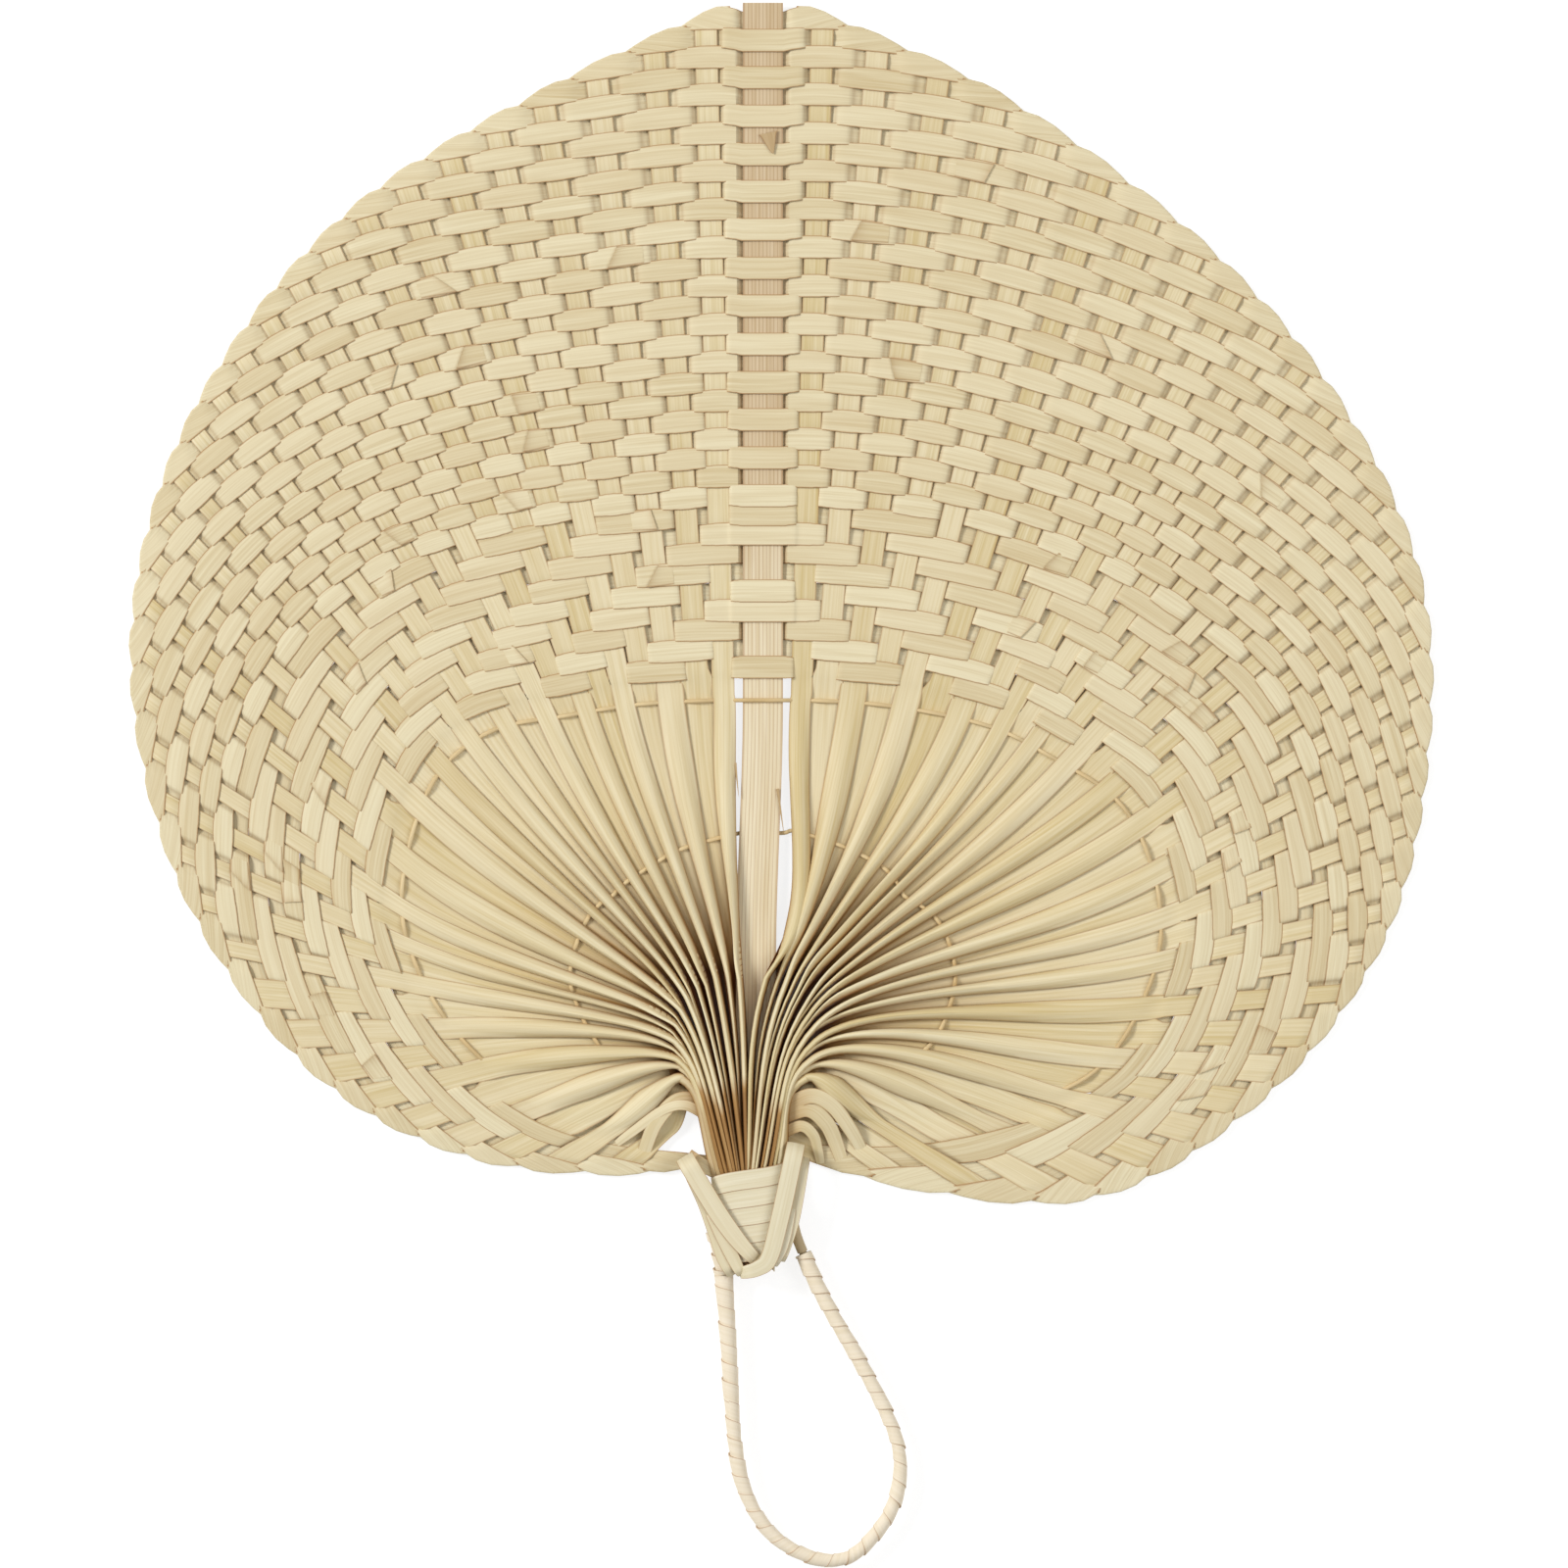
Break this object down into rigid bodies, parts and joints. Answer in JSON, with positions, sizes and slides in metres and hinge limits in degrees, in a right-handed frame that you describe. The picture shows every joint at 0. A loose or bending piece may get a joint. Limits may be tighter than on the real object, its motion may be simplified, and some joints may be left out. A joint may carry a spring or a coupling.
{
  "type": "palm leaf fan",
  "caption": "Heart-shaped hand fan woven from a palm leaf: pleats spread from a bound neck into a broad woven border, with a midrib and a wrapped carrying loop.",
  "frame": {"origin": "middle of the neck binding's flat back, where the fan lies on a table", "axes": "+X to the right across the blade, +Y up the midrib from the loop to the tip, +Z out of the fan's front"},
  "size_m": [0.2996, 0.3631, 0.0095],
  "materials": {
    "leaf": "dried, bleached palm leaf strip, satin",
    "pleats": "dried palm leaf, folded, satin",
    "binding": "split palm leaf binding, matt",
    "loop_strip": "pale palm leaf strip, wound, satin",
    "cane": "leaf stalk fibre, matt"
  },
  "bodies": {
    "fan_body": {"midrib": "leaf", "left_leaf": "pleats", "right_leaf": "pleats", "weft_row_01": "leaf", "weft_row_02": "leaf", "weft_row_03": "leaf", "weft_row_04": "leaf", "weft_row_05": "leaf", "weft_row_06": "leaf", "weft_row_07": "leaf", "weft_row_08": "leaf", "weft_row_09": "leaf", "weft_row_10": "leaf", "weft_row_11": "leaf", "weft_row_12": "leaf", "weft_row_13": "leaf", "weft_row_14": "leaf", "weft_row_15": "leaf", "weft_row_16": "leaf", "weft_row_17": "leaf", "weft_row_18": "leaf", "weft_row_19": "leaf", "weft_row_20": "leaf", "weft_row_21": "leaf", "weft_row_22": "leaf", "weft_row_23": "leaf", "weft_row_24": "leaf", "weft_row_25": "leaf", "weft_row_26": "leaf", "weft_row_27": "leaf", "weft_row_28": "leaf", "weft_row_29": "leaf", "weft_row_30": "leaf", "weft_row_31": "leaf", "weft_row_32": "leaf", "weft_row_33": "leaf", "weft_row_34": "leaf", "weft_row_35": "leaf", "outer_twine": "binding", "inner_twine": "binding", "neck_wrap": "binding", "left_strap": "binding", "right_strap": "binding", "left_tail": "cane", "right_tail": "cane"},
    "handle_loop": {"loop_core": "cane", "loop_wrap": "loop_strip"}
  },
  "joints": [
    {"name": "loop_flex", "type": "hinge", "parent": "fan_body", "child": "handle_loop", "pos_m": [-0.0091, -0.0148, 0.004], "axis": [0.9591, 0.283, 0], "range_deg": [-20, 20], "stiffness_Nm_per_rad": 0.06}
  ]
}
